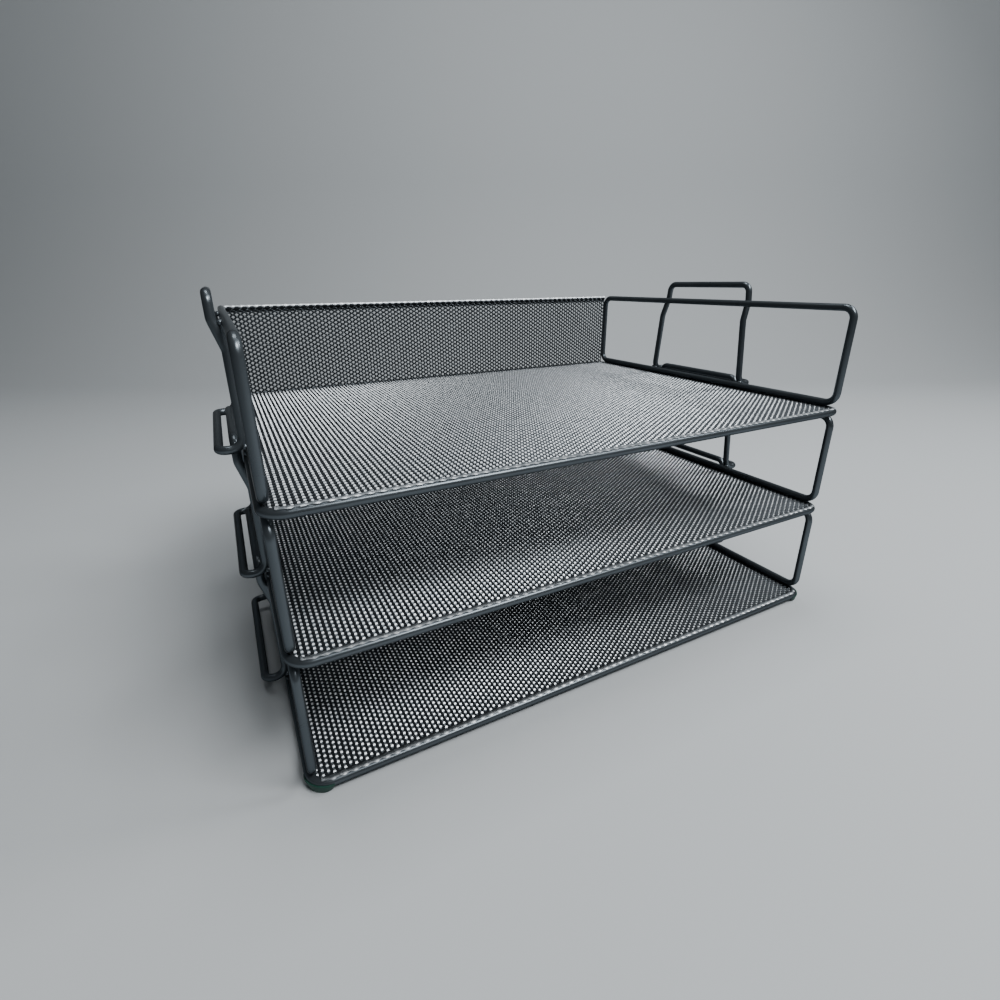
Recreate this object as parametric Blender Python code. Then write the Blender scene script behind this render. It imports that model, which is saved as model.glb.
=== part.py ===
"""Stack of three letter trays in powder-coated steel wire and expanded metal.

Each tray is a rim wire, a mesh sheet that is its floor and back, two side
frames and two stacking brackets, all welded together. A bracket's upright
stands inside the catch loop of the tray above, so a tray lifts straight off.
The bottom tray stands on four rubber corner feet.

Metres, +Z up, X across the front, +Y to the back. The origin is on the table
under the middle of the stack.
"""
import math

import bmesh
import bpy
from mathutils import Vector

MM = 0.001

# Driving sizes, in millimetres. Heights are above a tray's rim plane.
TRAYS = ("bottom", "middle", "top")
TRAY_PITCH = 69.15
FOOT_HEIGHT = 4.2

WIRE_RADIUS = 2.25
WIRE_SIDES_RESOLUTION = 2
BEND_STEP = math.radians(20)

RIM_HALF_WIDTH = 175.0
RIM_HALF_DEPTH = 125.5
RIM_CORNER = 10.0

FRAME_X = 173.4
FRAME_HALF_DEPTH = 122.5
FRAME_BOTTOM = 4.6
FRAME_TOP = 64.55
FRAME_CORNER = 7.0

BRACKET_Y = 1.8
UPRIGHT_X = 180.0
UPRIGHT_TOP = 77.6
UPRIGHT_HALF_WIDTH = 39.6
UPRIGHT_CORNER = 5.0
KINK_TOP = 66.0
KINK_TOP_HALF_WIDTH = 41.0
KINK_BOTTOM = 52.0
KINK_BOTTOM_HALF_WIDTH = 42.2
KINK_CORNER = 8.0
LEG_X = 175.8
CATCH_X = 187.4
CATCH_HEIGHT = 5.1
CATCH_HALF_WIDTH = 46.4
CATCH_BEND = 6.5
CATCH_CORNER = 4.5

SHEET_THICKNESS = 0.8
FLOOR_HEIGHT = 1.1
SHEET_GAP = 0.35
LAP_RADIUS = 2.95
LAP_END = math.radians(95)
LAP_HALF_WIDTH = 164.0
BACK_Y = 122.15
BACK_BEND = 1.5
BACK_HALF_WIDTH = 170.8
BACK_NOTCH_TOP = 3.0
HEM_CENTRE = 65.2
HEM_RADIUS = 0.7
HEM_BOTTOM = 61.2

FOOT_INNER_RADIUS = 2.55
FOOT_OUTER_RADIUS = 3.3
FOOT_OUTER_LIP = 1.5
FOOT_INNER_LIP = -0.2
FOOT_SOLE_HALF_WIDTH = 2.7
FOOT_STRAIGHT = 5.0


def new_material(name, colour, roughness, metallic):
    """A plain Principled BSDF finish."""
    material = bpy.data.materials.new(name)
    material.use_nodes = True
    shader = material.node_tree.nodes["Principled BSDF"]
    shader.inputs["Base Color"].default_value = (*colour, 1.0)
    shader.inputs["Roughness"].default_value = roughness
    shader.inputs["Metallic"].default_value = metallic
    return material


def add_to_scene(name, data, material, parent, place=(0.0, 0.0, 0.0)):
    """Put a mesh or a curve into the scene, on its tray."""
    part = bpy.data.objects.new(name, data)
    data.materials.append(material)
    bpy.context.scene.collection.objects.link(part)
    part.parent = parent
    part.location = place
    return part


def arc_about(centre, start, end, steps):
    """Points on the short arc from start to end about a centre."""
    from_centre = start - centre
    to_end = end - centre
    angle = from_centre.angle(to_end)
    points = []
    for step in range(steps + 1):
        share = step / steps
        weight_start = math.sin((1 - share) * angle) / math.sin(angle)
        weight_end = math.sin(share * angle) / math.sin(angle)
        points.append(centre + from_centre * weight_start + to_end * weight_end)
    return points


def bent_loop(corners):
    """A closed wire's centre line: straight runs with every corner rounded.

    corners is a list of (position, bend radius).
    """
    points = []
    count = len(corners)
    for index, (corner, radius) in enumerate(corners):
        back = (corners[index - 1][0] - corner).normalized()
        ahead = (corners[(index + 1) % count][0] - corner).normalized()
        half_angle = back.angle(ahead) / 2
        centre = corner + (back + ahead).normalized() * radius / math.sin(half_angle)
        run = radius / math.tan(half_angle)
        turn = math.pi - 2 * half_angle
        steps = max(1, round(turn / BEND_STEP))
        points += arc_about(centre, corner + back * run, corner + ahead * run, steps)
    return points


def wire(name, corners, material, parent):
    """A round wire bent into a closed loop, its ends butt welded."""
    points = bent_loop(corners)
    curve = bpy.data.curves.new(name, "CURVE")
    curve.dimensions = "3D"
    curve.bevel_depth = WIRE_RADIUS * MM
    curve.bevel_resolution = WIRE_SIDES_RESOLUTION
    spline = curve.splines.new("POLY")
    spline.points.add(len(points) - 1)
    for spline_point, point in zip(spline.points, points):
        spline_point.co = (*(point * MM), 1.0)
    spline.use_cyclic_u = True
    spline.use_smooth = True
    return add_to_scene(name, curve, material, parent)


def swept_solid(name, rings):
    """One closed mesh through a row of equal rings of points, in millimetres."""
    mesh = bpy.data.meshes.new(name)
    shape = bmesh.new()
    loops = [[shape.verts.new(point * MM) for point in ring] for ring in rings]
    size = len(loops[0])
    for first, second in zip(loops, loops[1:]):
        for index in range(size):
            following = (index + 1) % size
            shape.faces.new((first[index], first[following], second[following], second[index]))
    shape.faces.new(loops[0])
    shape.faces.new(reversed(loops[-1]))
    bmesh.ops.recalc_face_normals(shape, faces=shape.faces)
    shape.to_mesh(mesh)
    shape.free()
    mesh.shade_smooth()
    mesh.set_sharp_from_angle(angle=math.radians(35))
    return mesh


def floor_half_width(y):
    """Half width of the floor at y, following the rim's rounded corners."""
    inside = RIM_CORNER - WIRE_RADIUS - SHEET_GAP
    past_corner = max(0.0, abs(y) - (RIM_HALF_DEPTH - RIM_CORNER))
    straight = RIM_HALF_WIDTH - RIM_CORNER
    return straight + math.sqrt(max(0.0, inside ** 2 - past_corner ** 2))


def sheet_stations():
    """The sheet's side profile, front lap to hem, as (y, z, half width)."""
    stations = []
    lap_start = math.asin(FLOOR_HEIGHT / LAP_RADIUS)
    lap_steps = 4
    for step in range(lap_steps + 1):
        angle = LAP_END + (lap_start - LAP_END) * step / lap_steps
        y = LAP_RADIUS * math.cos(angle) - RIM_HALF_DEPTH
        stations.append((y, LAP_RADIUS * math.sin(angle), LAP_HALF_WIDTH))
    corner_start = RIM_HALF_DEPTH - RIM_CORNER
    floor_end = BACK_Y - BACK_BEND
    corner_steps = 5
    front_edge = -stations[-1][0]
    for step in range(1, corner_steps + 1):
        y = corner_start + (front_edge - corner_start) * math.cos(step / corner_steps * math.pi / 2)
        stations.append((-y, FLOOR_HEIGHT, floor_half_width(y)))
    for step in range(corner_steps + 1):
        y = corner_start + (floor_end - corner_start) * math.sin(step / corner_steps * math.pi / 2)
        stations.append((y, FLOOR_HEIGHT, floor_half_width(y)))
    bend_steps = 3
    for step in range(1, bend_steps + 1):
        angle = step / bend_steps * math.pi / 2
        y = floor_end + BACK_BEND * math.sin(angle)
        z = FLOOR_HEIGHT + BACK_BEND * (1 - math.cos(angle))
        stations.append((y, z, floor_half_width(y)))
    stations.append((BACK_Y, BACK_NOTCH_TOP, BACK_HALF_WIDTH))
    hem_steps = 4
    for step in range(hem_steps + 1):
        angle = math.pi * (1 - step / hem_steps)
        y = BACK_Y + HEM_RADIUS * (1 + math.cos(angle))
        stations.append((y, HEM_CENTRE + HEM_RADIUS * math.sin(angle), BACK_HALF_WIDTH))
    stations.append((BACK_Y + 2 * HEM_RADIUS, HEM_BOTTOM, BACK_HALF_WIDTH))
    return stations


def mesh_sheet(name, material, parent):
    """Expanded metal sheet, floor and back in one, as a thin plain plate."""
    stations = sheet_stations()
    rings = []
    for index, (y, z, half_width) in enumerate(stations):
        before = stations[max(index - 1, 0)]
        after = stations[min(index + 1, len(stations) - 1)]
        along = Vector((0, after[0] - before[0], after[1] - before[1])).normalized()
        half = Vector((0, -along.z, along.y)) * SHEET_THICKNESS / 2
        left = Vector((-half_width, y, z))
        right = Vector((half_width, y, z))
        rings.append((left + half, right + half, right - half, left - half))
    return add_to_scene(name, swept_solid(name, rings), material, parent)


def foot_profile():
    """Section of a foot across the rim wire, as (outwards, up)."""
    outer_lip = math.asin(FOOT_OUTER_LIP / FOOT_OUTER_RADIUS)
    outer_flank = -math.acos(FOOT_SOLE_HALF_WIDTH / FOOT_OUTER_RADIUS)
    inner_flank = -math.pi - outer_flank
    inner_lip = -math.pi - math.asin(FOOT_INNER_LIP / FOOT_OUTER_RADIUS)
    steps = 3
    section = []
    for step in range(steps + 1):
        angle = outer_lip + (outer_flank - outer_lip) * step / steps
        section.append((FOOT_OUTER_RADIUS * math.cos(angle), FOOT_OUTER_RADIUS * math.sin(angle)))
    section.append((FOOT_SOLE_HALF_WIDTH, -FOOT_HEIGHT))
    section.append((-FOOT_SOLE_HALF_WIDTH, -FOOT_HEIGHT))
    for step in range(steps + 1):
        angle = inner_flank + (inner_lip - inner_flank) * step / steps
        section.append((FOOT_OUTER_RADIUS * math.cos(angle), FOOT_OUTER_RADIUS * math.sin(angle)))
    inner_steps = 8
    for step in range(inner_steps + 1):
        angle = inner_lip + (outer_lip - inner_lip) * step / inner_steps
        section.append((FOOT_INNER_RADIUS * math.cos(angle), FOOT_INNER_RADIUS * math.sin(angle)))
    return section


def foot(name, side_x, side_y, material, parent):
    """Rubber foot pushed over a corner of the bottom rim from below."""
    section = foot_profile()
    centre = Vector((RIM_HALF_WIDTH - RIM_CORNER, RIM_HALF_DEPTH - RIM_CORNER, 0))
    turn_steps = 6
    places = [(centre + Vector((0, -FOOT_STRAIGHT, 0)), 0.0)]
    for step in range(turn_steps + 1):
        places.append((centre, step / turn_steps * math.pi / 2))
    places.append((centre + Vector((-FOOT_STRAIGHT, 0, 0)), math.pi / 2))
    rings = []
    for base, angle in places:
        outwards = Vector((math.cos(angle), math.sin(angle), 0))
        ring = []
        for out, up in section:
            point = base + outwards * (RIM_CORNER + out) + Vector((0, 0, up))
            ring.append(Vector((point.x * side_x, point.y * side_y, point.z)))
        rings.append(ring)
    return add_to_scene(name, swept_solid(name, rings), material, parent)


def rim_corners():
    """Corners of a tray's rim, in its own plane."""
    x, y = RIM_HALF_WIDTH, RIM_HALF_DEPTH
    return [(Vector(place), RIM_CORNER) for place in ((x, -y, 0), (x, y, 0), (-x, y, 0), (-x, -y, 0))]


def frame_corners(side):
    """Corners of a side frame, an upright rounded rectangle."""
    x, y = side * FRAME_X, FRAME_HALF_DEPTH
    places = ((x, -y, FRAME_BOTTOM), (x, y, FRAME_BOTTOM), (x, y, FRAME_TOP), (x, -y, FRAME_TOP))
    return [(Vector(place), FRAME_CORNER) for place in places]


def bracket_corners(side):
    """Corners of a stacking bracket, from its top down one leg and back up the other."""
    leg = (
        (UPRIGHT_X, UPRIGHT_HALF_WIDTH, UPRIGHT_TOP, UPRIGHT_CORNER),
        (UPRIGHT_X, KINK_TOP_HALF_WIDTH, KINK_TOP, KINK_CORNER),
        (LEG_X, KINK_BOTTOM_HALF_WIDTH, KINK_BOTTOM, KINK_CORNER),
        (LEG_X, CATCH_HALF_WIDTH, CATCH_HEIGHT, CATCH_BEND),
        (CATCH_X, CATCH_HALF_WIDTH, CATCH_HEIGHT, CATCH_CORNER),
    )
    down = [(Vector((side * x, BRACKET_Y - half, z)), bend) for x, half, z, bend in leg]
    up = [(Vector((side * x, BRACKET_Y + half, z)), bend) for x, half, z, bend in reversed(leg)]
    return down + up


for old in list(bpy.data.objects):
    bpy.data.objects.remove(old)

coated_wire = new_material("powder_coated_wire", (0.036, 0.039, 0.044), 0.38, 0.3)
expanded_metal = new_material("coated_expanded_metal", (0.085, 0.09, 0.097), 0.42, 0.6)
foot_rubber = new_material("foot_rubber", (0.016, 0.03, 0.026), 0.6, 0.0)

tray_empties = {}
for level, tray in enumerate(TRAYS):
    empty = bpy.data.objects.new(f"{tray}_tray", None)
    empty.location = (0, 0, (FOOT_HEIGHT + level * TRAY_PITCH) * MM)
    bpy.context.scene.collection.objects.link(empty)
    tray_empties[tray] = empty
    wire(f"{tray}_rim_wire", rim_corners(), coated_wire, empty)
    mesh_sheet(f"{tray}_mesh_sheet", expanded_metal, empty)
    for side_name, side in (("left", -1), ("right", 1)):
        wire(f"{tray}_side_frame_{side_name}", frame_corners(side), coated_wire, empty)
        wire(f"{tray}_stacking_bracket_{side_name}", bracket_corners(side), coated_wire, empty)

for y_name, side_y in (("front", -1), ("back", 1)):
    for x_name, side_x in (("left", -1), ("right", 1)):
        foot(f"foot_{y_name}_{x_name}", side_x, side_y, foot_rubber, tray_empties["bottom"])
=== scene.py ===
"""Stack of three letter trays in coated steel wire and expanded metal.

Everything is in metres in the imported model's frame: +Z up, +X to the right
across the open front, +Y to the back, the table at z = 0. The trays are the
same, so each piece is made once for the bottom tray and copied up the stack.
"""
import math

import bmesh
import bpy
from mathutils import Matrix, Vector


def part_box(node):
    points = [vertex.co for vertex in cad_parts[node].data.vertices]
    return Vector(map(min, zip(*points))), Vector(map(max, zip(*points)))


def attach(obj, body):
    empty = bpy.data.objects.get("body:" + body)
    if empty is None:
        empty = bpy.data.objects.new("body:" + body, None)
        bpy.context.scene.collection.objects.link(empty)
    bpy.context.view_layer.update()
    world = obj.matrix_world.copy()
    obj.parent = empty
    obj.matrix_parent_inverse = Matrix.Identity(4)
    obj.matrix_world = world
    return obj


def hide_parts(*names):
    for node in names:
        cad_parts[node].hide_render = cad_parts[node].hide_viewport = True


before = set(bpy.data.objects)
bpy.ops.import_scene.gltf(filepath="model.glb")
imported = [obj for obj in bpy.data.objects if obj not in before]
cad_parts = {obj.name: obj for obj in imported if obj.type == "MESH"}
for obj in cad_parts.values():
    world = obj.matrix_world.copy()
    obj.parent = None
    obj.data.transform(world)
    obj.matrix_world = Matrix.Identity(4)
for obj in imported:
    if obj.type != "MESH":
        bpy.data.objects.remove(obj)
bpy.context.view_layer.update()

# ---------------------------------------------------------------------------
# Rim wire: the closed rectangle that carries the floor of a tray. It is drawn
# steel wire, 4.5 mm thick, bent at four corners, butt welded and powder coated,
# and everything else on the tray is welded to it.
# ---------------------------------------------------------------------------
MM = 0.001
TRAYS = ("bottom", "middle", "top")
SIDES = (("left", -1), ("right", 1))

rim_low, rim_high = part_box("bottom_rim_wire")
next_rim_low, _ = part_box("middle_rim_wire")
TRAY_PITCH = next_rim_low.z - rim_low.z
WIRE_RADIUS = (rim_high.z - rim_low.z) / 2
RIM_PLANE = rim_low.z + WIRE_RADIUS
WIRE_ROUNDNESS = 6
BEND_STEPS = 8


def deselect_all():
    """Leave nothing selected, so that an operator acts on the new piece only."""
    if bpy.context.mode != "OBJECT":
        bpy.ops.object.mode_set(mode="OBJECT")
    bpy.ops.object.select_all(action="DESELECT")


def make_active(piece):
    """Select one piece alone."""
    deselect_all()
    piece.select_set(True)
    bpy.context.view_layer.objects.active = piece


def select_where(piece, kind, wanted):
    """In edit mode, select the vertices, edges or faces whose middle passes a test."""
    bpy.ops.mesh.select_mode(type=kind)
    bpy.ops.mesh.select_all(action="DESELECT")
    shape = bmesh.from_edit_mesh(piece.data)
    elements = {"VERT": shape.verts, "EDGE": shape.edges, "FACE": shape.faces}[kind]
    for element in elements:
        if kind == "VERT":
            middle = element.co
        elif kind == "EDGE":
            middle = (element.verts[0].co + element.verts[1].co) / 2
        else:
            middle = element.calc_center_median()
        if wanted(middle):
            element.select_set(True)
    bmesh.update_edit_mesh(piece.data)


def flat_outline(name, centre, size, turn=(0.0, 0.0, 0.0)):
    """A plane of a given size, with its place in its mesh, in edit mode."""
    deselect_all()
    bpy.ops.mesh.primitive_plane_add(size=1.0, location=centre, rotation=turn)
    outline = bpy.context.object
    outline.name = name
    outline.scale = (size[0], size[1], 1.0)
    bpy.ops.object.transform_apply(location=True, rotation=True, scale=True)
    bpy.ops.object.mode_set(mode="EDIT")
    return outline


def round_corners(piece, run, wanted):
    """Bend the wire's path at the chosen corners; run is the corner's length along each leg."""
    select_where(piece, "VERT", wanted)
    bpy.ops.mesh.bevel(offset=run, segments=BEND_STEPS, profile=0.5, affect="VERTICES")


def draw_wire(outline):
    """Turn a closed outline into round wire."""
    bpy.ops.object.mode_set(mode="EDIT")
    bpy.ops.mesh.select_mode(type="FACE")
    bpy.ops.mesh.select_all(action="SELECT")
    bpy.ops.mesh.delete(type="ONLY_FACE")
    make_active(outline)
    bpy.ops.object.convert(target="CURVE")
    outline.data.bevel_depth = WIRE_RADIUS
    outline.data.bevel_resolution = WIRE_ROUNDNESS
    bpy.ops.object.convert(target="MESH")
    bpy.ops.object.shade_smooth()
    outline.data.materials.append(wire_coat)
    return outline


def lifted_copy(piece, name, height):
    """The same piece on a higher tray, with its own mesh."""
    twin = piece.copy()
    twin.data = piece.data.copy()
    twin.name = name
    twin.data.name = name
    bpy.context.scene.collection.objects.link(twin)
    twin.data.transform(Matrix.Translation((0.0, 0.0, height)))
    return twin


def fit_to_trays(piece, part):
    """Put a copy of a bottom-tray piece on each tray."""
    pieces = [piece]
    for level, tray in enumerate(TRAYS):
        if level:
            pieces.append(lifted_copy(piece, f"{tray}_{part}", level * TRAY_PITCH))
    piece.name = f"{TRAYS[0]}_{part}"
    piece.data.name = piece.name
    for tray, fitted in zip(TRAYS, pieces):
        fitted["tray"] = tray
        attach(fitted, f"{tray}_tray")
    return pieces


def linear(hex_colour):
    """sRGB hex to the linear colour that a shader wants."""
    channels = [int(hex_colour[i:i + 2], 16) / 255 for i in (1, 3, 5)]
    return tuple(c / 12.92 if c <= 0.04045 else ((c + 0.055) / 1.055) ** 2.4 for c in channels) + (1.0,)


def add_node(tree, kind, settings=None, inputs=None, links=None):
    """Add one node: its settings, the values of its inputs, and the links into it."""
    node = tree.nodes.new(kind)
    for name, value in (settings or {}).items():
        setattr(node, name, value)
    for name, value in (inputs or {}).items():
        node.inputs[name].default_value = value
    for name, source in (links or {}).items():
        tree.links.new(source, node.inputs[name])
    return node


def empty_material(name):
    """A material with only its shader, and the shader itself."""
    material = bpy.data.materials.new(name)
    material.use_nodes = True
    shader = material.node_tree.nodes["Principled BSDF"]
    return material, material.node_tree, shader


# Powder coat on wire: charcoal polyester with metal flake, sprayed and baked.
# It is dark with a satin gloss, so a lamp draws one soft bright line along each
# wire. The orange peel of about 1 mm breaks that line up a little.
PEEL_SIZE = 1.1 * MM
COAT_PATCH_SIZE = 30 * MM
FINE_RELIEF = 0.05 * MM
wire_coat, tree, shader = empty_material("charcoal_powder_coat_baked_on_wire")
place = add_node(tree, "ShaderNodeTexCoord").outputs["Object"]
peel = add_node(tree, "ShaderNodeTexNoise",
                inputs={"Scale": 1 / PEEL_SIZE, "Detail": 2.0}, links={"Vector": place})
patches = add_node(tree, "ShaderNodeTexNoise",
                   inputs={"Scale": 1 / COAT_PATCH_SIZE, "Detail": 3.0}, links={"Vector": place})
colour = add_node(tree, "ShaderNodeMix", {"data_type": "RGBA"}, links={"Factor": patches.outputs["Fac"]})
colour.inputs["A"].default_value = linear("#4E5459")
colour.inputs["B"].default_value = linear("#636A6F")
gloss = add_node(tree, "ShaderNodeMapRange",
                 inputs={"To Min": 0.24, "To Max": 0.34}, links={"Value": patches.outputs["Fac"]})
bump = add_node(tree, "ShaderNodeBump",
                inputs={"Strength": 0.12, "Distance": FINE_RELIEF},
                links={"Height": peel.outputs["Fac"]})
tree.links.new(colour.outputs["Result"], shader.inputs["Base Color"])
tree.links.new(gloss.outputs["Result"], shader.inputs["Roughness"])
tree.links.new(bump.outputs["Normal"], shader.inputs["Normal"])
shader.inputs["Metallic"].default_value = 0.75
shader.inputs["Specular Tint"].default_value = linear("#5C6268")

RIM_CORNER = 10 * MM
rim_centre = (rim_low + rim_high) / 2
rim_size = (rim_high.x - rim_low.x - 2 * WIRE_RADIUS, rim_high.y - rim_low.y - 2 * WIRE_RADIUS)
rim = flat_outline("rim_wire", rim_centre, rim_size)
round_corners(rim, RIM_CORNER, lambda place: True)
draw_wire(rim)
for fitted in fit_to_trays(rim, "coated_rim_wire"):
    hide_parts(f"{fitted['tray']}_rim_wire")

# ---------------------------------------------------------------------------
# Side frames: an upright rectangle of wire at each end keeps the paper in and
# carries the tray above. They are bent and coated like the rim.
# ---------------------------------------------------------------------------
FRAME_CORNER = 7 * MM
for side_name, side in SIDES:
    low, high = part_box(f"bottom_side_frame_{side_name}")
    frame_size = (high.z - low.z - 2 * WIRE_RADIUS, high.y - low.y - 2 * WIRE_RADIUS)
    upright = flat_outline("side_frame", (low + high) / 2, frame_size, (0.0, math.pi / 2, 0.0))
    round_corners(upright, FRAME_CORNER, lambda place: True)
    draw_wire(upright)
    for fitted in fit_to_trays(upright, f"coated_side_frame_{side_name}"):
        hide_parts(f"{fitted['tray']}_side_frame_{side_name}")

# ---------------------------------------------------------------------------
# Stacking brackets: one closed wire each. Two legs come up from a flat catch
# loop, lean outwards above the side frame and meet in a handle-like top, which
# stands inside the catch loop of the next tray.
# ---------------------------------------------------------------------------
UPRIGHT_X = 180.0 * MM
UPRIGHT_HALF_WIDTH = 39.6 * MM
KINK_TOP = 66.0 * MM
KINK_TOP_HALF_WIDTH = 41.0 * MM
KINK_BOTTOM = 52.0 * MM
KINK_BOTTOM_HALF_WIDTH = 42.2 * MM
LEG_X = 175.8 * MM
BEND_RUNS = {"top": 5.0 * MM, "kink": 1.2 * MM, "foot": 6.5 * MM, "catch": 4.5 * MM}
NEAR = 0.1 * MM


def widen(piece, centre_y, factor):
    """Spread the selected pair of corners apart, or draw them together."""
    bpy.ops.transform.resize(value=(1.0, factor, 1.0), center_override=(0.0, centre_y, 0.0))


for side_name, side in SIDES:
    low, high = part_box(f"bottom_stacking_bracket_{side_name}")
    catch_z = low.z + WIRE_RADIUS
    top_z = high.z - WIRE_RADIUS
    outer_x = side * (max(abs(low.x), abs(high.x)) - WIRE_RADIUS)
    middle_y = (low.y + high.y) / 2
    catch_half = (high.y - low.y) / 2 - WIRE_RADIUS
    kink_top_z = RIM_PLANE + KINK_TOP
    kink_bottom_z = RIM_PLANE + KINK_BOTTOM
    head = Vector((side * UPRIGHT_X, middle_y, (top_z + kink_top_z) / 2))
    head_size = (top_z - kink_top_z, 2 * UPRIGHT_HALF_WIDTH)
    bracket = flat_outline("bracket", head, head_size, (0.0, math.pi / 2, 0.0))
    select_where(bracket, "EDGE", lambda place: place.z < kink_top_z + NEAR)
    widen(bracket, middle_y, KINK_TOP_HALF_WIDTH / UPRIGHT_HALF_WIDTH)
    lean_in = (side * (LEG_X - UPRIGHT_X), 0.0, kink_bottom_z - kink_top_z)
    leg_down = (0.0, 0.0, catch_z - kink_bottom_z)
    catch_out = (outer_x - side * LEG_X, 0.0, 0.0)
    runs = (
        (lean_in, KINK_BOTTOM_HALF_WIDTH / KINK_TOP_HALF_WIDTH),
        (leg_down, catch_half / KINK_BOTTOM_HALF_WIDTH),
        (catch_out, 1.0),
    )
    for step, factor in runs:
        bpy.ops.mesh.extrude_region_move(TRANSFORM_OT_translate={"value": step})
        widen(bracket, middle_y, factor)
    select_where(bracket, "EDGE", lambda place: abs(place.y - middle_y) < NEAR
                 and place.z < top_z - NEAR and abs(place.x) < abs(outer_x) - NEAR)
    bpy.ops.mesh.delete(type="EDGE")
    round_corners(bracket, BEND_RUNS["top"], lambda place: place.z > top_z - NEAR)
    round_corners(bracket, BEND_RUNS["kink"], lambda place: abs(place.z - kink_top_z) < NEAR
                  or abs(place.z - kink_bottom_z) < NEAR)
    round_corners(bracket, BEND_RUNS["catch"], lambda place: abs(place.x) > abs(outer_x) - NEAR)
    round_corners(bracket, BEND_RUNS["foot"], lambda place: place.z < catch_z + NEAR
                  and abs(place.x) < LEG_X + NEAR)
    draw_wire(bracket)
    for fitted in fit_to_trays(bracket, f"coated_bracket_{side_name}"):
        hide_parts(f"{fitted['tray']}_stacking_bracket_{side_name}")

# ---------------------------------------------------------------------------
# Expanded metal sheet: floor and back of a tray in one. Steel sheet is slit in
# staggered rows and pulled open, which leaves strands that meet in knuckles.
# The knuckles lean towards the front. The sheet is then bent up at the back.
# ---------------------------------------------------------------------------
MESH_LONG = 5.2 * MM
MESH_SHORT = 3.2 * MM
KNUCKLE_LENGTH = 1.2 * MM
KNUCKLE_HALF_HEIGHT = 0.66 * MM
KNUCKLE_DIP = 0.62 * MM
KNUCKLE_RISE = 0.50 * MM
STRAND_HALF_WIDTH = 0.60 * MM
SHEET_GAUGE = 0.60 * MM
FLOOR_PLANE = RIM_PLANE + 1.1 * MM
FLOOR_ROWS = 76
BACK_HALF_ROWS = 40
STRIP_COLUMNS = 22
FOLD_Y = 121.0 * MM
FLOOR_HALF_WIDTH = 172.4 * MM
BACK_HALF_WIDTH = 170.8 * MM
CORNER_INSIDE = 8.2 * MM
CORNER_CUTS = 3
HAIR = 0.05 * MM
WELD_REACH = 0.01 * MM

# Coat on the sheet: the same charcoal powder, rougher than on the wire. It is
# also darker, which is painted shade for the twisted strands shading each other.
SHEET_PATCH_SIZE = 22 * MM
SHEET_GRAIN_SIZE = 0.9 * MM
mesh_coat, tree, shader = empty_material("charcoal_powder_coat_on_expanded_steel")
place = add_node(tree, "ShaderNodeTexCoord").outputs["Object"]
patches = add_node(tree, "ShaderNodeTexNoise",
                   inputs={"Scale": 1 / SHEET_PATCH_SIZE, "Detail": 3.0}, links={"Vector": place})
grain = add_node(tree, "ShaderNodeTexNoise",
                 inputs={"Scale": 1 / SHEET_GRAIN_SIZE, "Detail": 2.0}, links={"Vector": place})
colour = add_node(tree, "ShaderNodeMix", {"data_type": "RGBA"}, links={"Factor": patches.outputs["Fac"]})
colour.inputs["A"].default_value = linear("#353A3E")
colour.inputs["B"].default_value = linear("#42474C")
gloss = add_node(tree, "ShaderNodeMapRange",
                 inputs={"To Min": 0.34, "To Max": 0.46}, links={"Value": grain.outputs["Fac"]})
bump = add_node(tree, "ShaderNodeBump",
                inputs={"Strength": 0.2, "Distance": FINE_RELIEF},
                links={"Height": grain.outputs["Fac"]})
tree.links.new(colour.outputs["Result"], shader.inputs["Base Color"])
tree.links.new(gloss.outputs["Result"], shader.inputs["Roughness"])
tree.links.new(bump.outputs["Normal"], shader.inputs["Normal"])
shader.inputs["Metallic"].default_value = 0.75

# Painted highlight on the knuckles: they get a bright bare-steel colour in place of the
# dark coat, so they catch the lamps as rows of light dots. The brightness varies in
# random patches a few millimetres across.
HIGHLIGHT_PATCH_SIZE = 4 * MM
KNUCKLE_GRAIN_SIZE = 0.5 * MM
bright_steel_highlight_coat, tree, shader = empty_material("bright_steel_coat_for_painted_highlight")
place = add_node(tree, "ShaderNodeTexCoord").outputs["Object"]
highlight_patches = add_node(tree, "ShaderNodeTexNoise",
                inputs={"Scale": 1 / HIGHLIGHT_PATCH_SIZE, "Detail": 2.0}, links={"Vector": place})
grain = add_node(tree, "ShaderNodeTexNoise",
                 inputs={"Scale": 1 / KNUCKLE_GRAIN_SIZE, "Detail": 1.0}, links={"Vector": place})
spread = add_node(tree, "ShaderNodeMapRange",
                  inputs={"From Min": 0.3, "From Max": 0.7}, links={"Value": highlight_patches.outputs["Fac"]})
colour = add_node(tree, "ShaderNodeMix", {"data_type": "RGBA"}, links={"Factor": spread.outputs["Result"]})
colour.inputs["A"].default_value = linear("#9AA1A6")
colour.inputs["B"].default_value = linear("#CDD2D6")
gloss = add_node(tree, "ShaderNodeMapRange",
                 inputs={"To Min": 0.36, "To Max": 0.46}, links={"Value": grain.outputs["Fac"]})
tree.links.new(colour.outputs["Result"], shader.inputs["Base Color"])
tree.links.new(gloss.outputs["Result"], shader.inputs["Roughness"])
shader.inputs["Metallic"].default_value = 1.0


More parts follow.
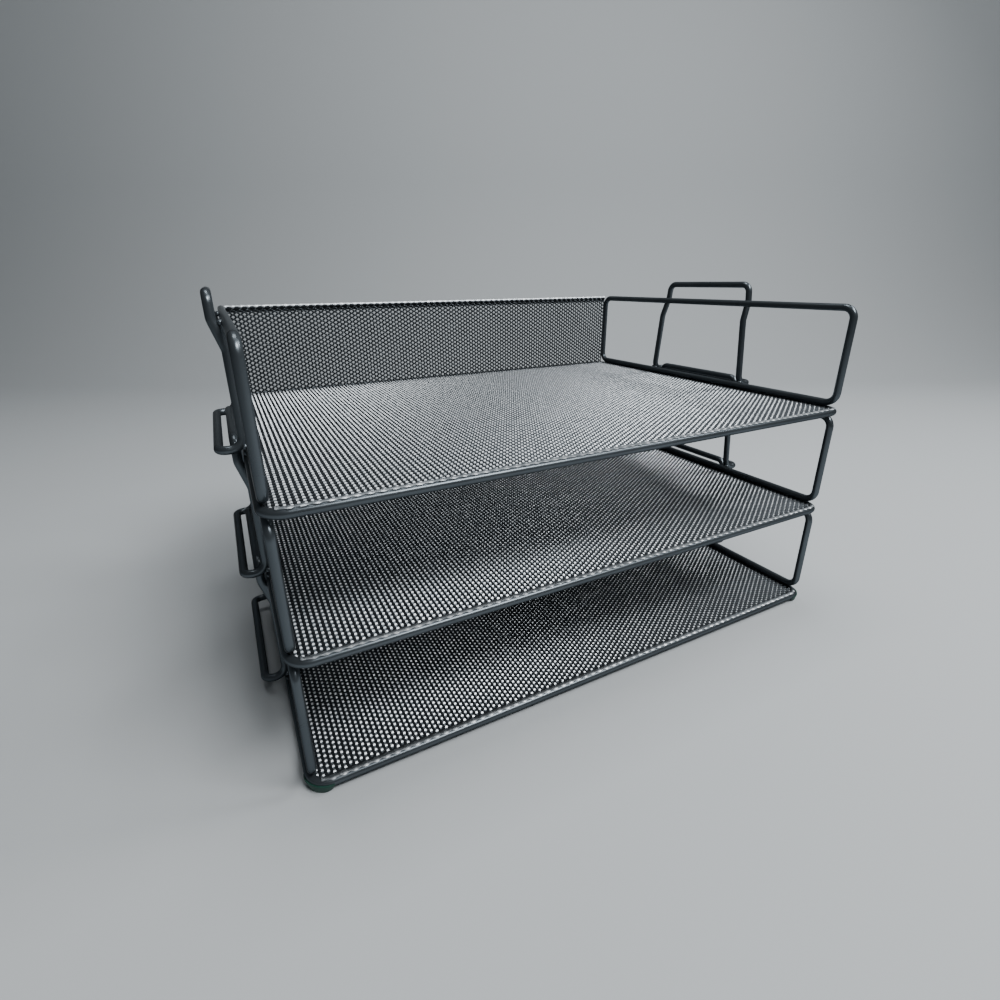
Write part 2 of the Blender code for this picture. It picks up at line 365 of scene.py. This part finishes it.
def expanded_cell(name):
    """One opening with its share of the metal: a six-sided ring about the origin, as one skin."""
    deselect_all()
    bpy.ops.mesh.primitive_circle_add(vertices=6, radius=1.0, fill_type="NGON",
                                      rotation=(0.0, 0.0, math.pi / 6))
    cell = bpy.context.object
    cell.name = name
    bpy.ops.object.transform_apply()
    bpy.ops.object.mode_set(mode="EDIT")
    bpy.ops.mesh.select_all(action="SELECT")
    bpy.ops.mesh.inset(thickness=0.3)
    bpy.ops.mesh.delete(type="FACE")
    strand_run = Vector((MESH_LONG / 2 - KNUCKLE_LENGTH, MESH_SHORT / 2))
    tip_out = (MESH_LONG - KNUCKLE_LENGTH) / 2
    tip_in = tip_out - STRAND_HALF_WIDTH * strand_run.length / strand_run.y
    side_y = MESH_SHORT / 2 - KNUCKLE_HALF_HEIGHT
    side_x = tip_in - side_y * strand_run.x / strand_run.y
    shape = bmesh.from_edit_mesh(cell.data)
    for corner in shape.verts:
        outer = corner.co.length > 0.9
        across = 0 if abs(corner.co.y) < 0.1 else math.copysign(1, corner.co.y)
        along = math.copysign(1, corner.co.x)
        if outer and across:
            corner.co = (along * KNUCKLE_LENGTH / 2, across * MESH_SHORT / 2, 0.0)
        elif outer:
            corner.co = (along * tip_out, 0.0, 0.0)
        elif across:
            height = -KNUCKLE_DIP if across > 0 else KNUCKLE_RISE
            corner.co = (along * side_x, across * side_y, height)
        else:
            corner.co = (along * tip_in, 0.0, 0.0)
    for finish in (mesh_coat, bright_steel_highlight_coat):
        cell.data.materials.append(finish)
    # Painted highlight: the front half of each knuckle, the face leaning towards the front, gets the
    # bright steel coat, so the knuckles show as rows of light dots.
    for face in shape.faces:
        middle = face.calc_center_median()
        face.material_index = int(abs(middle.x) < HAIR and middle.y < 0)
    bmesh.update_edit_mesh(cell.data)
    bpy.ops.object.mode_set(mode="OBJECT")
    return cell


def repeat(piece, count, step):
    """Copies of a piece in a row, welded where they touch."""
    array = piece.modifiers.new("row", "ARRAY")
    array.count = count
    array.use_relative_offset = False
    array.use_constant_offset = True
    array.constant_offset_displace = step
    array.use_merge_vertices = True
    array.merge_threshold = WELD_REACH
    bpy.ops.object.modifier_apply(modifier="row")


def thicken(piece, gauge):
    """Give a skin the thickness of the steel, half of it on each side."""
    solid = piece.modifiers.new("gauge", "SOLIDIFY")
    solid.thickness = gauge
    solid.offset = 0.0
    bpy.ops.object.modifier_apply(modifier="gauge")


def trim(piece, point, outwards, wanted):
    """Shear off what lies past a line, on the part of the sheet that passes a test."""
    select_where(piece, "FACE", wanted)
    bpy.ops.mesh.bisect(plane_co=point, plane_no=outwards, clear_outer=True)


cell = expanded_cell("expanded_cell")
make_active(cell)
bpy.ops.object.duplicate()
neighbour = bpy.context.object
neighbour.data.transform(Matrix.Translation((MESH_LONG / 2, MESH_SHORT / 2, 0.0)))
cell.select_set(True)
bpy.context.view_layer.objects.active = cell
bpy.ops.object.join()
MESH_FRONT_Y = FOLD_Y - FLOOR_ROWS * MESH_SHORT
cell.data.transform(Matrix.Translation((0.0, MESH_FRONT_Y, FLOOR_PLANE)))
repeat(cell, STRIP_COLUMNS, (MESH_LONG, 0.0, 0.0))
repeat(cell, FLOOR_ROWS + BACK_HALF_ROWS // 2 + 1, (0.0, MESH_SHORT, 0.0))

SIDE_CORNER_Y = rim_size[1] / 2 - RIM_CORNER
SIDE_CORNER_X = rim_size[0] / 2 - RIM_CORNER
BACK_TOP_Y = FOLD_Y + BACK_HALF_ROWS * MESH_SHORT / 2
SECOND_FOLD_Y = FOLD_Y + MESH_SHORT / 2


def near_rim_corner(place):
    """Whether a place on the floor is beside a corner of the rim wire."""
    near_side = abs(place.x) > SIDE_CORNER_X - RIM_CORNER
    near_end = abs(place.y) > SIDE_CORNER_Y - RIM_CORNER
    return near_side and near_end and place.y < SECOND_FOLD_Y


def fold_up(piece, line_y):
    """Bend everything behind a line up by half a right angle."""
    select_where(piece, "VERT", lambda place: place.y > line_y + HAIR)
    shape = bmesh.from_edit_mesh(piece.data)
    turned = [vertex for vertex in shape.verts if vertex.select]
    hinge = Vector((0.0, line_y, FLOOR_PLANE))
    bmesh.ops.rotate(shape, verts=turned, cent=hinge, matrix=Matrix.Rotation(math.pi / 4, 3, "X"))
    bmesh.update_edit_mesh(piece.data)


for strip, strip_name in enumerate(("left", "middle", "right")):
    make_active(cell)
    bpy.ops.object.duplicate()
    sheet = bpy.context.object
    sheet.data.transform(Matrix.Translation(((strip - 1.5) * STRIP_COLUMNS * MESH_LONG, 0.0, 0.0)))
    bpy.ops.object.mode_set(mode="EDIT")
    select_where(sheet, "FACE", lambda place: place.y < MESH_FRONT_Y or place.y > BACK_TOP_Y)
    bpy.ops.mesh.delete(type="FACE")
    if strip_name != "middle":
        side = strip - 1
        if side > 0:
            select_where(sheet, "FACE", lambda place: place.x > SIDE_CORNER_X)
            edge_copy = (MESH_LONG, 0.0, 0.0)
            bpy.ops.mesh.duplicate_move(TRANSFORM_OT_translate={"value": edge_copy})
        outwards = (side, 0.0, 0.0)
        trim(sheet, (side * FLOOR_HALF_WIDTH, 0.0, 0.0), outwards, lambda place: place.y < SECOND_FOLD_Y)
        trim(sheet, (side * BACK_HALF_WIDTH, 0.0, 0.0), outwards, lambda place: place.y > SECOND_FOLD_Y)
        for end in (-1, 1):
            for cut in range(1, CORNER_CUTS + 1):
                angle = cut / (CORNER_CUTS + 1) * math.pi / 2
                outwards = Vector((side * math.cos(angle), end * math.sin(angle), 0.0))
                corner = Vector((side * SIDE_CORNER_X, end * SIDE_CORNER_Y, FLOOR_PLANE))
                trim(sheet, corner + outwards * CORNER_INSIDE, outwards, near_rim_corner)
    bpy.ops.mesh.select_mode(type="VERT")
    bpy.ops.mesh.select_all(action="SELECT")
    bpy.ops.mesh.remove_doubles(threshold=WELD_REACH)
    bpy.ops.mesh.delete_loose()
    fold_up(sheet, SECOND_FOLD_Y)
    fold_up(sheet, FOLD_Y)
    bpy.ops.object.mode_set(mode="OBJECT")
    thicken(sheet, SHEET_GAUGE)
    bpy.ops.object.shade_flat()
    for fitted in fit_to_trays(sheet, f"expanded_sheet_{strip_name}"):
        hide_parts(f"{fitted['tray']}_mesh_sheet")
bpy.data.objects.remove(cell)

# ---------------------------------------------------------------------------
# Front lap and back hem: the sheet's front edge is pressed flat and lapped
# over the rim wire, with a scallop at each opening. Its top edge is folded
# over twice its gauge, so that no cut strand meets the hand.
# ---------------------------------------------------------------------------
LAP_HALF_WIDTH = 170.3 * MM
LAP_SCALLOP = 0.25 * MM
LAP_RIDGE = 0.2 * MM
LAP_UNDER_MESH = 0.3 * MM
LAP_END_ANGLE = math.radians(116)
STRIP_GAUGE = 0.5 * MM
BRIGHT_EDGE_WAVE = 0.11
FACETS_PER_OPENING = 8
SHARP_ANGLE = math.radians(40)
LAP_CLEARANCE = 0.02 * MM
LAP_RADIUS = WIRE_RADIUS + STRIP_GAUGE / 2 + LAP_CLEARANCE
LAP_FLAT_LEVEL = FLOOR_PLANE - RIM_PLANE
WIRE_Y = -rim_size[1] / 2
HEM_RADIUS = 0.85 * MM
HEM_FRONT_FLAP = 0.9 * MM
HEM_BACK_FLAP = 4.0 * MM
HEM_SCALLOP = 0.1 * MM
HEM_RIDGE = 0.15 * MM


def along_path(path, distance):
    """The place and the outward normal at a distance along a list of (length, place, normal) runs."""
    for length, place_at in path:
        if distance <= length:
            return place_at(distance)
        distance -= length
    length, place_at = path[-1]
    return place_at(length + distance)


def straight_run(start, end, normal):
    """A straight stretch of a folded strip."""
    start, end = Vector(start), Vector(end)
    length = (end - start).length
    return length, lambda d: (start + (end - start) * d / length, Vector(normal))


def arc_run(centre, radius, first, last):
    """A round stretch of a folded strip, between two angles about a centre."""
    length = radius * abs(last - first)

    def place_at(d):
        angle = first + (last - first) * d / length
        normal = Vector((math.cos(angle), math.sin(angle)))
        return Vector(centre) + normal * radius, normal

    return length, place_at


def folded_strip(name, path, half_width, rows, wave, ridge, highlight_span, follows_rim):
    """A strip of the sheet pressed flat, bent along a path in the side view.

    wave is how far the free edge swings at each opening, and ridge how far the
    flattened knuckles still stand up. The highlight span is the stretch of the path
    that gets the bright steel coat as a painted highlight. follows_rim turns the ends
    with the corners of the rim wire.
    """
    total = sum(length for length, _ in path)
    openings = round(2 * half_width / MESH_LONG)
    columns = openings * FACETS_PER_OPENING
    deselect_all()
    bpy.ops.mesh.primitive_grid_add(x_subdivisions=columns, y_subdivisions=rows, size=1.0)
    strip = bpy.context.object
    strip.name = name
    for finish in (mesh_coat, bright_steel_highlight_coat):
        strip.data.materials.append(finish)
    for face in strip.data.polygons:
        # Painted highlight: the faces inside the highlight span, with an edge that waves once per opening,
        # get the bright steel coat.
        bright_from = highlight_span[0] - BRIGHT_EDGE_WAVE * math.cos((face.center.x + 0.5) * openings * 2 * math.pi)
        face.material_index = int(bright_from < face.center.y + 0.5 < highlight_span[1])
    for vertex in strip.data.vertices:
        across = vertex.co.x + 0.5
        share = vertex.co.y + 0.5
        swing = math.cos(across * openings * 2 * math.pi)
        distance = share * total + wave * swing * share ** 3
        place, normal = along_path(path, distance)
        place = place + normal * ridge * max(0.0, swing) * math.sin(share * math.pi) ** 0.5
        x = (2 * across - 1) * half_width
        past_bend = max(0.0, abs(x) - SIDE_CORNER_X) if follows_rim else 0.0
        inwards = RIM_CORNER - math.sqrt(RIM_CORNER ** 2 - past_bend ** 2)
        vertex.co = (x, place.x + inwards, place.y)
    make_active(strip)
    thicken(strip, STRIP_GAUGE)
    bpy.ops.object.mode_set(mode="EDIT")
    bpy.ops.mesh.select_all(action="SELECT")
    bpy.ops.mesh.normals_make_consistent(inside=False)
    bpy.ops.object.mode_set(mode="OBJECT")
    bpy.ops.object.shade_smooth_by_angle(angle=SHARP_ANGLE)
    return strip


lap_start = math.asin(LAP_FLAT_LEVEL / LAP_RADIUS)
lap_path = [
    straight_run((MESH_FRONT_Y + LAP_UNDER_MESH, FLOOR_PLANE),
                 (WIRE_Y + LAP_RADIUS * math.cos(lap_start), FLOOR_PLANE), (0, 1)),
    arc_run((WIRE_Y, RIM_PLANE), LAP_RADIUS, lap_start, LAP_END_ANGLE),
]
# Painted highlight: the crest of the lap, where it lies over the wire, gets the bright steel coat.
lap = folded_strip("lap", lap_path, LAP_HALF_WIDTH, rows=9, wave=LAP_SCALLOP, ridge=LAP_RIDGE,
                   highlight_span=(0.62, 1.0), follows_rim=True)
fit_to_trays(lap, "front_lap")

back_plane = FOLD_Y + MESH_SHORT / 2 * math.cos(math.pi / 4)
_, hem_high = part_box("bottom_mesh_sheet")
hem_centre_z = hem_high.z - HEM_RADIUS - STRIP_GAUGE / 2
hem_front = back_plane - HEM_RADIUS
hem_back = back_plane + HEM_RADIUS
hem_path = [
    straight_run((hem_front, hem_centre_z - HEM_FRONT_FLAP), (hem_front, hem_centre_z), (-1, 0)),
    arc_run((back_plane, hem_centre_z), HEM_RADIUS, math.pi, 0.0),
    straight_run((hem_back, hem_centre_z), (hem_back, hem_centre_z - HEM_BACK_FLAP), (1, 0)),
]
# Painted highlight: the top of the hem, over its fold, gets the bright steel coat.
hem = folded_strip("hem", hem_path, BACK_HALF_WIDTH, rows=12, wave=HEM_SCALLOP, ridge=HEM_RIDGE,
                   highlight_span=(0.1, 0.5), follows_rim=False)
fit_to_trays(hem, "back_hem")

# ---------------------------------------------------------------------------
# Welds: the wires of a tray are spot and fillet welded where they cross, and
# the coat runs over the beads. They are small, rounded and a little uneven,
# all joined as one piece on each tray.
# ---------------------------------------------------------------------------
FRAME_X = rim_size[0] / 2 - 1.6 * MM
RIM_JOINTS_Y = (-100 * MM, -62 * MM, 64 * MM, 102 * MM)
BEAD_UNEVENNESS = 0.08
BEAD_VARIETY = 900
RIM_BEAD = (1.5 * MM, 3.4 * MM, 1.5 * MM)
LEG_BEAD = (1.6 * MM, 2.9 * MM, 1.7 * MM)
LEG_JOINT_X = (FRAME_X + LEG_X) / 2 + 0.9 * MM
LEG_JOINT_RISE = 1.6 * MM
CATCH_BEAD = (1.4 * MM, 2.6 * MM, 1.4 * MM)
CATCH_JOINT_X = 175.6 * MM
CATCH_JOINT_RISE = 0.2 * MM
HEAD_BEAD = (1.5 * MM, 2.4 * MM, 1.5 * MM)
HEAD_JOINT_X = 176.4 * MM
HEAD_JOINT_HALF_WIDTH = 41.1 * MM
frame_low, frame_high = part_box("bottom_side_frame_right")
frame_bottom_z = frame_low.z + WIRE_RADIUS
frame_top_z = frame_high.z - WIRE_RADIUS


def weld_bead(place, size):
    """One bead: a squashed ball pulled out along the joint."""
    deselect_all()
    bpy.ops.mesh.primitive_uv_sphere_add(segments=14, ring_count=9, radius=1.0)
    bead = bpy.context.object
    bead.scale = size
    bpy.ops.object.transform_apply(location=False, rotation=False, scale=True)
    for vertex in bead.data.vertices:
        lump = math.sin(place[1] * BEAD_VARIETY + vertex.co.y / size[1] * 3)
        uneven = 1 + BEAD_UNEVENNESS * lump
        vertex.co = Vector(vertex.co) * uneven + Vector(place)
    return bead


beads = []
for side_name, side in SIDES:
    bracket_low, bracket_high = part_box(f"bottom_stacking_bracket_{side_name}")
    rim_joint_z = (RIM_PLANE + frame_bottom_z) / 2
    rim_joint_x = side * (rim_size[0] / 2 + FRAME_X) / 2
    for joint_y in RIM_JOINTS_Y:
        beads.append(weld_bead((rim_joint_x, joint_y, rim_joint_z), RIM_BEAD))
    for joint_y in (bracket_low.y + WIRE_RADIUS, bracket_high.y - WIRE_RADIUS):
        leg_joint = (side * LEG_JOINT_X, joint_y, frame_bottom_z + LEG_JOINT_RISE)
        beads.append(weld_bead(leg_joint, LEG_BEAD))
        catch_joint = (side * CATCH_JOINT_X, joint_y, (RIM_PLANE + catch_z) / 2 + CATCH_JOINT_RISE)
        beads.append(weld_bead(catch_joint, CATCH_BEAD))
    for end in (-1, 1):
        head_joint = (side * HEAD_JOINT_X, middle_y + end * HEAD_JOINT_HALF_WIDTH, frame_top_z)
        beads.append(weld_bead(head_joint, HEAD_BEAD))
deselect_all()
for bead in beads:
    bead.select_set(True)
bpy.context.view_layer.objects.active = beads[0]
bpy.ops.object.join()
bpy.ops.object.shade_smooth()
beads[0].data.materials.append(wire_coat)
fit_to_trays(beads[0], "weld_beads")

# ---------------------------------------------------------------------------
# Feet: moulded rubber clips, dark green-black. Each is pushed over a corner of
# the bottom rim from below, grips the wire and leaves a flat sole.
# ---------------------------------------------------------------------------
FOOT_OUTER = 3.0 * MM
FOOT_INNER = 2.3 * MM
FOOT_LIP = 0.5 * MM
FOOT_FADE = 0.8
SOLE_FROM = 1.6 * MM
SOLE_HALF_WIDTH = 2.2 * MM

# Rubber: dark green-black, matt from the mould's fine grain, with duller patches
# where dust has settled.
RUBBER_GRAIN_SIZE = 0.7 * MM
DUST_SIZE = 6 * MM
rubber, tree, shader = empty_material("dark_green_moulded_rubber")
place = add_node(tree, "ShaderNodeTexCoord").outputs["Object"]
grain = add_node(tree, "ShaderNodeTexNoise",
                 inputs={"Scale": 1 / RUBBER_GRAIN_SIZE, "Detail": 3.0}, links={"Vector": place})
dust = add_node(tree, "ShaderNodeTexNoise",
                inputs={"Scale": 1 / DUST_SIZE, "Detail": 2.0}, links={"Vector": place})
colour = add_node(tree, "ShaderNodeMix", {"data_type": "RGBA"}, links={"Factor": dust.outputs["Fac"]})
colour.inputs["A"].default_value = linear("#0C2F27")
colour.inputs["B"].default_value = linear("#174A3D")
bump = add_node(tree, "ShaderNodeBump",
                inputs={"Strength": 0.3, "Distance": FINE_RELIEF},
                links={"Height": grain.outputs["Fac"]})
tree.links.new(colour.outputs["Result"], shader.inputs["Base Color"])
tree.links.new(bump.outputs["Normal"], shader.inputs["Normal"])
shader.inputs["Roughness"].default_value = 0.62

corner_turn = Vector((SIDE_CORNER_X, -SIDE_CORNER_Y, RIM_PLANE))
section_centre = corner_turn + Vector((RIM_CORNER, 0.0, 0.0))
deselect_all()
bpy.ops.mesh.primitive_circle_add(vertices=28, radius=FOOT_OUTER, fill_type="NGON",
                                  rotation=(math.pi / 2, 0.0, 0.0))
foot = bpy.context.object
foot.name = "foot"
bpy.ops.object.transform_apply()
foot.data.transform(Matrix.Translation(section_centre))
bpy.ops.object.mode_set(mode="EDIT")
bpy.ops.mesh.select_all(action="SELECT")
bpy.ops.mesh.inset(thickness=FOOT_OUTER - FOOT_INNER)
bpy.ops.mesh.delete(type="FACE")
select_where(foot, "FACE", lambda place: place.z > RIM_PLANE + FOOT_LIP
             or (place.z > RIM_PLANE and place.x < section_centre.x))
bpy.ops.mesh.delete(type="FACE")
shape = bmesh.from_edit_mesh(foot.data)
for vertex in shape.verts:
    below = vertex.co - section_centre
    if below.length > FOOT_OUTER - HAIR and below.z < -SOLE_FROM:
        vertex.co.z = 0.0
        vertex.co.x = section_centre.x + max(-SOLE_HALF_WIDTH, min(SOLE_HALF_WIDTH, below.x))
bmesh.update_edit_mesh(foot.data)
bpy.ops.mesh.select_all(action="SELECT")
bpy.ops.mesh.spin(steps=12, angle=math.pi / 2, center=corner_turn, axis=(0.0, 0.0, 1.0))
bpy.ops.mesh.select_all(action="SELECT")
bpy.ops.mesh.remove_doubles(threshold=WELD_REACH)
bpy.ops.mesh.normals_make_consistent(inside=False)
bpy.ops.object.mode_set(mode="OBJECT")
for vertex in foot.data.vertices:
    arm = Vector((vertex.co.x - corner_turn.x, vertex.co.y - corner_turn.y, 0.0))
    across = arm.length - RIM_CORNER
    up = vertex.co.z - RIM_PLANE
    reach = math.hypot(across, up)
    if reach > FOOT_INNER + HAIR:
        from_middle = abs(math.atan2(-arm.y, arm.x) / (math.pi / 4) - 1)
        wall = (reach - FOOT_INNER) * (1 - FOOT_FADE * from_middle ** 3)
        shrink = (FOOT_INNER + wall) / reach
        vertex.co = corner_turn + arm.normalized() * (RIM_CORNER + across * shrink)
        vertex.co.z = RIM_PLANE + up * shrink
soften = foot.modifiers.new("soften", "BEVEL")
soften.width = 0.2 * MM
soften.segments = 2
soften.limit_method = "ANGLE"
soften.angle_limit = SHARP_ANGLE
bpy.ops.object.modifier_apply(modifier="soften")
bpy.ops.object.shade_smooth_by_angle(angle=SHARP_ANGLE)
foot.data.materials.append(rubber)
for y_name, end in (("front", 1), ("back", -1)):
    for side_name, side in SIDES:
        clip = lifted_copy(foot, f"rubber_foot_{y_name}_{side_name}", 0.0)
        clip.data.transform(Matrix.Diagonal((side, end, 1.0, 1.0)))
        if side * end < 0:
            clip.data.flip_normals()
        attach(clip, "bottom_tray")
        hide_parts(f"foot_{y_name}_{side_name}")
bpy.data.objects.remove(foot)

# ---------------------------------------------------------------------------
# Studio: a pale paper sweep, a broad lamp in front and above, weaker ones from
# the right and from overhead, and a camera close to the front left corner.
# ---------------------------------------------------------------------------
paper, tree, shader = empty_material("matt_pale_grey_paper")
shader.inputs["Base Color"].default_value = linear("#B8BDC0")
shader.inputs["Roughness"].default_value = 0.85
VIEW_TURN = math.radians(-27.4)
VIEW_FOOT = Vector((-0.178, -0.323, 0.0))
SWEEP_NEAR = -1.2
SWEEP_FAR = 1.70
SWEEP_WIDTH = 7.0
SWEEP_HEIGHT = 2.4
SWEEP_RADIUS = 0.50
deselect_all()
bpy.ops.mesh.primitive_plane_add(size=1.0)
sweep = bpy.context.object
sweep.name = "paper_sweep"
sweep.scale = (SWEEP_WIDTH, SWEEP_FAR - SWEEP_NEAR, 1.0)
sweep.location = (0.0, (SWEEP_FAR + SWEEP_NEAR) / 2, 0.0)
bpy.ops.object.transform_apply()
bpy.ops.object.mode_set(mode="EDIT")
select_where(sweep, "EDGE", lambda place: place.y > SWEEP_FAR - NEAR)
bpy.ops.mesh.extrude_region_move(TRANSFORM_OT_translate={"value": (0.0, 0.0, SWEEP_HEIGHT)})
select_where(sweep, "EDGE", lambda place: place.y > SWEEP_FAR - NEAR and place.z < NEAR)
bpy.ops.mesh.bevel(offset=SWEEP_RADIUS, segments=24)
bpy.ops.object.mode_set(mode="OBJECT")
bpy.ops.object.shade_smooth()
sweep.data.transform(Matrix.Translation(VIEW_FOOT) @ Matrix.Rotation(VIEW_TURN, 4, "Z"))
sweep.data.materials.append(paper)


def soft_lamp(name, place, target, size, watts):
    """A white rectangular lamp aimed at a point."""
    light = bpy.data.lights.new(name, "AREA")
    light.shape = "RECTANGLE"
    light.size, light.size_y = size
    light.energy = watts
    lamp = bpy.data.objects.new(name, light)
    bpy.context.scene.collection.objects.link(lamp)
    lamp.location = place
    aim = Vector(target) - Vector(place)
    lamp.rotation_euler = aim.to_track_quat("-Z", "Y").to_euler()


soft_lamp("front_lamp", (0.40, -0.85, 1.35), (0.0, 0.0, 0.1), (0.80, 0.45), 23)
soft_lamp("right_lamp", (1.05, -0.25, 1.25), (0.0, 0.0, 0.1), (0.45, 0.45), 8)
soft_lamp("overhead_lamp", (0.0, 0.20, 1.60), (0.0, 0.1, 0.0), (0.80, 0.50), 9)

world = bpy.data.worlds.new("pale_room")
world.use_nodes = True
background = world.node_tree.nodes["Background"]
background.inputs["Color"].default_value = linear("#DCE4EA")
background.inputs["Strength"].default_value = 0.10
bpy.context.scene.world = world

camera_data = bpy.data.cameras.new("camera")
camera_data.lens = 18.906
camera_data.sensor_width = 36.0
camera_data.shift_y = -0.0205
camera_data.clip_start = 0.01
camera = bpy.data.objects.new("camera", camera_data)
camera.location = (-0.17761, -0.32342, 0.22411)
camera.rotation_euler = [math.radians(angle) for angle in (69.28, 0.405, -27.394)]
bpy.context.scene.collection.objects.link(camera)
bpy.context.scene.camera = camera
